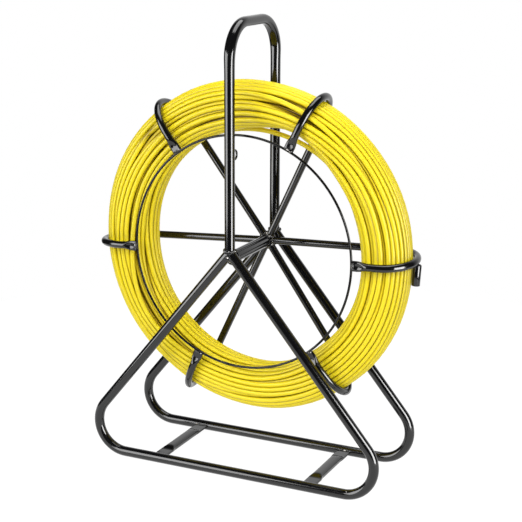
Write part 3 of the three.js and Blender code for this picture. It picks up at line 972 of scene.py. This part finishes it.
def by_station(places):
    """The strands' places in each section of the wheel. Far ones stand in for the missing points."""
    filler = np.stack([1e3 + 50.0 * np.arange(MISSING_POINTS), np.zeros(MISSING_POINTS)], axis=-1)
    return np.concatenate([places, filler]).reshape(TURNS, STATIONS, 2).transpose(1, 0, 2)


def push_apart(grid, fixed):
    """Moves strands that overlap at the same station away from each other."""
    gap = grid[:, :, None] - grid[:, None]
    distance = np.sqrt((gap**2).sum(axis=-1)) + 1e-9
    overlap = np.clip(STRAND_SPACING - distance, 0, None)
    overlap[:, np.arange(TURNS), np.arange(TURNS)] = 0
    give = np.where(fixed[:, None, :], 1.0, 0.5) * overlap / distance
    push = (gap * give[..., None]).sum(axis=2)
    grid += np.where(fixed[..., None], 0, push * PUSH_SHARE)


def keep_in_bundle(places, angle, held):
    """Keeps strands inside the bundle's rounded outline, with the outermost ones pressed against it."""
    middle, radial, axial = bundle_section(angle % 360)
    out = (places[:, 0] - middle + COIL_RADIUS) / radial
    along = places[:, 1] / axial
    size = outline_share(out, along)
    pressed = size + (1 - size) * PRESS_SHARE * smoothstep(size, *PRESS_BAND)
    scale = np.where(held, 1, np.minimum(pressed, 1) / np.maximum(size, 1e-6))
    places[:, 0] = middle - COIL_RADIUS + out * scale * radial
    places[:, 1] = along * scale * axial


def hold_off(places, angle, held, wheel_angle, spread, spot, clearance):
    """Pushes strands out of a round post that stands in the bundle's section around a wheel angle."""
    gap = places - spot
    distance = np.linalg.norm(gap, axis=1) + 1e-9
    reach = clearance * near(angle, wheel_angle, spread, power=4)
    push = np.clip(reach - distance, 0, None) / distance
    places += np.where(held, 0, push)[:, None] * gap


def part_strands(places, angle, held):
    """Holds strands apart at the partings, and off the two ferrules."""
    middle, radial, axial = bundle_section(angle % 360)
    for wheel_angle, spread, direction, width in PARTINGS:
        out = middle - COIL_RADIUS + radial * math.cos(math.radians(direction))
        spot = np.stack([out, axial * math.sin(math.radians(direction))], axis=-1)
        hold_off(places, angle, held, wheel_angle, spread, spot, (ROD_DIAMETER + width) / 2)
    apart = (ROD_DIAMETER + FERRULE_DIAMETER) / 2
    for wheel_angle, radius, y in (INNER_END, OUTER_END):
        spot = np.array([radius - COIL_RADIUS, y - COIL_Y])
        hold_off(places, angle, held, wheel_angle, FERRULE_CLEARANCE, spot, apart)


def smoothed(places, spread):
    """The strand's line with short wiggles taken out, as its stiffness does."""
    reach = int(3 * spread)
    kernel = np.exp(-0.5 * (np.arange(-reach, reach + 1) / spread) ** 2)
    kernel /= kernel.sum()
    padded = np.pad(places, ((reach, reach), (0, 0)), mode="edge")
    return np.stack([np.convolve(padded[:, axis], kernel, mode="valid") for axis in (0, 1)], axis=-1)


def settle(places, angle, held):
    """Packs the strands: they stay smooth and in the bundle, and most of their overlap goes."""
    fixed = np.concatenate([held, np.ones(MISSING_POINTS, bool)]).reshape(TURNS, STATIONS).T
    pinned = places[held].copy()
    for number in range(SETTLE_ROUNDS):
        soft = number >= SETTLE_ROUNDS - SOFT_ROUNDS
        places = mix(places, smoothed(places, STIFF_SPREAD), STIFFNESS[soft])
        places[held] = pinned
        grid = by_station(places).copy()
        for _ in range(PUSHES):
            push_apart(grid, fixed)
        places = grid.transpose(1, 0, 2).reshape(-1, 2)[:ROD_POINTS]
        keep_in_bundle(places, angle, held)
        part_strands(places, angle, held)
    places = smoothed(places, FINAL_SPREAD)
    places[held] = pinned
    keep_in_bundle(places, angle, held)
    return places


def rod_centre_line():
    """The whole rod from its inner end to its outer one, and how open its jacket lies at each point."""
    places, angle = strand_targets()
    wander = np.stack([soft_noise(ROD_POINTS, WANDER_SPREAD, seed) for seed in (1, 2)], axis=-1)
    places = places + WANDER * wander
    held = pinned_ends(places, angle)
    places = settle(places, angle, held)
    line = rod_line(places[:, 0] + COIL_RADIUS, places[:, 1] + COIL_Y, angle)
    return line, np.pad(openness(places, angle), ((1, 1), (0, 0)), constant_values=1)


def rod_line(radius, y, angle):
    """Points on the reel, with a stub at each end that goes into its ferrule."""
    radius = np.concatenate([[INNER_END[1]], radius, [OUTER_END[1]]])
    y = np.concatenate([[INNER_END[2]], y, [OUTER_END[2]]])
    last = END_ANGLE + 360 * (TURNS - 1) + 1.5
    angle = np.radians(np.concatenate([[START_ANGLE - 2], angle, [last]]))
    return xyz(radius * np.cos(angle), y, AXLE_HEIGHT + radius * np.sin(angle))


def openness(places, angle):
    """How open each point of the jacket lies, which sets its painted shade: 0 where strands touch or deep
    in the bundle, up to 1.
    """
    sections = by_station(places)
    skin_points = sections[:, :, None] + circle(ROD_SIDES) * ROD_DIAMETER / 2
    nearest = np.empty(skin_points.shape[:3])
    for station, (centres, points) in enumerate(zip(sections, skin_points)):
        gaps = np.linalg.norm(points[:, :, None] - centres, axis=-1) - ROD_DIAMETER / 2
        gaps[np.arange(TURNS), :, np.arange(TURNS)] = math.inf
        nearest[station] = gaps.min(axis=-1)
    nearest = nearest.transpose(1, 0, 2).reshape(-1, ROD_SIDES)[:ROD_POINTS]
    middle, radial, axial = bundle_section(angle % 360)
    points = places[:, None] + circle(ROD_SIDES) * ROD_DIAMETER / 2
    out = (points[..., 0] - (middle - COIL_RADIUS)[:, None]) / radial[:, None]
    size = outline_share(out, points[..., 1] / axial[:, None])
    depth = (1 - size) * axial[:, None] + ROD_DIAMETER / 2
    # Painted shade: darker where strands touch, and darker still deep under the outline
    return np.clip(nearest / OPEN_DISTANCE, 0, 1) * (1 - DEPTH_SHADE * smoothstep(depth, *SHADED_DEPTHS))


def wound_rod():
    """The rod as one skin, with each point's place along it and how open it lies stored for its jacket's
    wear and painted shade.
    """
    line, open_amounts = rod_centre_line()
    tangents = directions(line)
    across = unit(Y_AXIS - tangents * tangents[:, 1:2])
    out = np.cross(across, tangents)
    turns = circle(ROD_SIDES) * ROD_DIAMETER / 2
    rings = line[:, None] + out[:, None] * turns[:, :1] + across[:, None] * turns[:, 1:]
    rod = loft("wound_rod", rings, JACKET, crease=80)
    place_on_rod = np.zeros((len(rod.data.vertices), 3), np.float32)
    place_on_rod[:, 0] = np.repeat(distances_along(line) * MM, ROD_SIDES)
    place_on_rod[:, 1:] = np.tile(circle(ROD_SIDES), (len(line), 1))
    attribute = rod.data.attributes.new("rod_place", "FLOAT_VECTOR", "POINT")
    attribute.data.foreach_set("vector", place_on_rod.ravel())
    attribute = rod.data.attributes.new("openness", "FLOAT", "POINT")
    attribute.data.foreach_set("value", open_amounts.astype(np.float32).ravel())
    fit(rod, "reel", "fish_rod_coil", slot="yellow_rod")


def rim_rotation(angle, way):
    """Turns a piece made along Y to lie along the rim at an angle."""
    angle = math.radians(angle)
    outward = np.array([math.cos(angle), 0, math.sin(angle)])
    along = np.array([-math.sin(angle), 0, math.cos(angle)]) * way
    return np.stack([outward, along, np.cross(outward, along)], axis=-1)


def lay_on_rim(piece, end, way):
    """Lays a piece made along Y on one of the rod's ends."""
    angle, radius, y = end
    turn = math.radians(angle)
    position = (radius * math.cos(turn), y, AXLE_HEIGHT + radius * math.sin(turn))
    return place(piece, position, rim_rotation(angle, way))


def ferrule_rings(segments):
    """A turned sleeve with three crimped grooves and a threaded stud, along Y."""
    radius, half = FERRULE_DIAMETER / 2, FERRULE_LENGTH / 2
    body = np.linspace(-half, half, 90)
    grooves = sum(np.exp(-(((body - at) / GROOVE_WIDTH) ** 2)) for at in CRIMP_GROOVES)
    edge = np.clip(np.minimum(body + half, half - body) / 0.9, 0, 1)
    body_radius = radius - GROOVE_DEPTH * grooves - 0.8 * (1 - np.sqrt(1 - (1 - edge) ** 2))
    end = half + STUD_LENGTH
    thread = np.linspace(half, end, 110)
    heights = np.concatenate([[-half], body, thread, [end]])
    angles = np.arange(segments) * 2 * math.pi / segments
    radii = np.concatenate([[0.4], body_radius, np.full(len(thread), STUD_DIAMETER / 2), [0.4]])
    radii = np.repeat(radii[:, None], segments, axis=1)
    turn = (heights[:, None] / THREAD_PITCH - angles[None] / (2 * math.pi)) % 1
    on_thread = smoothstep(heights, half + 0.6, half + 1.2) * smoothstep(-heights, 0.2 - end, 0.9 - end)
    radii[1:-1] -= (THREAD_DEPTH * np.abs(2 * turn - 1) * on_thread[:, None])[1:-1]
    return xyz(radii * np.cos(angles), heights[:, None], radii * np.sin(angles))


def ferrules():
    """The fitting on each end of the rod, with its stud pointing away from the rod."""
    for name, end, way in (("outer", OUTER_END, 1), ("inner", INNER_END, -1)):
        ferrule = loft(f"end_ferrule_{name}", ferrule_rings(40), BRASS, crease=50)
        fit(lay_on_rim(ferrule, end, way), "reel", f"{name}_rod_ferrule", slot="brass")


def rod_end_holder():
    """The short tube under the right-hand hook, with the weld round its upper end."""
    low, high = box_of("rod_end_holder")
    centre = (low + high) / 2
    size = (HOLDER_BORE, HOLDER_DIAMETER, HOLDER_LENGTH)
    holder = turned_tube("rod_holder_tube", *size, PAINT, radius=0.35)
    tilt = math.degrees(math.atan2(centre[2] - AXLE_HEIGHT, centre[0]))
    fit(place(holder, centre, rim_rotation(tilt, 1)), "reel", "rod_end_holder")
    run = round_run(4.3, 48) + Y_AXIS * (HOLDER_LENGTH / 2 + 0.1)
    bead = weld_bead("rod_holder_weld", run, BEADS["holder"], PAINT, seed=71, closed=True)
    fit(place(bead, centre, rim_rotation(tilt, 1)), "reel")


wound_rod()
ferrules()
rod_end_holder()


# ---- Floor and light ----

TABLE_RADIUS = 0.9
TABLE_SIDES = 96
LIGHT_TARGET = Vector((0, 0, 0.3))
# Each light: azimuth, elevation, distance, size, radiance, and whether it lights matt and glossy surfaces
SOFTBOXES = {
    "card_right": (71, 3, 1.05, (0.50, 0.74), 17.0, False, True),
    "card_left": (-42, 8, 1.05, (0.84, 0.72), 6.5, False, True),
    "key": (55, 28, 1.9, (1.2, 1.2), 5.1, True, False),
    "front_fill": (-8, 26, 1.9, (1.6, 1.4), 4.3, True, False),
    "overhead": (180, 82, 1.9, (1.3, 1.5), 4.2, True, True),
}
# What the background sends to the reel: 0.02 where a direction's Y is under 0.5, rising to 1 at 0.85
ROOM_SPAN = (0.5, 0.85, 0.02, 1.0)


def pale_floor():
    """A round table top that glows almost as brightly as the white background, to merge with it."""
    mesh = bpy.data.meshes.new("floor")
    rim = np.pad(circle(TABLE_SIDES) * TABLE_RADIUS, ((0, 0), (0, 1)))
    mesh.from_pydata(rim.tolist(), [], [tuple(range(TABLE_SIDES))])
    floor = add_object("floor", mesh)
    nodes = Nodes(bpy.data.materials.new("floor"))
    nodes.set("Base Color", (0.06, 0.06, 0.06, 1))
    nodes.set("Roughness", 0.9)
    nodes.set("Emission Color", (1, 1, 1, 1))
    nodes.set("Emission Strength", 0.97)
    mesh.materials.append(nodes.owner)


def softbox(name, azimuth, elevation, distance, size, radiance, diffuse, glossy):
    """A rectangular light that faces the reel. Azimuth 0 is in front, and 90 is on the +X side."""
    light = bpy.data.lights.new(name, "AREA")
    light.shape = "RECTANGLE"
    light.size, light.size_y = size
    light.energy = radiance * math.pi * size[0] * size[1]
    lamp = add_object(name, light)
    turn, rise = math.radians(azimuth), math.radians(elevation)
    towards = Vector((math.sin(turn) * math.cos(rise), -math.cos(turn) * math.cos(rise), math.sin(rise)))
    lamp.location = LIGHT_TARGET + towards * distance
    lamp.rotation_euler = towards.to_track_quat("Z", "Y").to_euler()
    lamp.visible_camera = False
    lamp.visible_diffuse = diffuse
    lamp.visible_glossy = glossy


def studio_world():
    """White to the camera everywhere, but to the reel only from nearly straight behind it."""
    nodes = Nodes(bpy.data.worlds.new("studio"), "Background", "Generated")
    split = nodes.add("ShaderNodeSeparateXYZ", {"Vector": nodes.place})
    room = nodes.span(split.outputs["Y"], *ROOM_SPAN)
    to_camera = nodes.add("ShaderNodeLightPath").outputs["Is Camera Ray"]
    nodes.set("Color", (1, 1, 1, 1))
    nodes.set("Strength", nodes.maths("MAXIMUM", to_camera, room))
    bpy.context.scene.world = nodes.owner


pale_floor()
studio_world()
for light_name, settings in SOFTBOXES.items():
    softbox(light_name, *settings)
bpy.context.scene.view_settings.view_transform = "Standard"
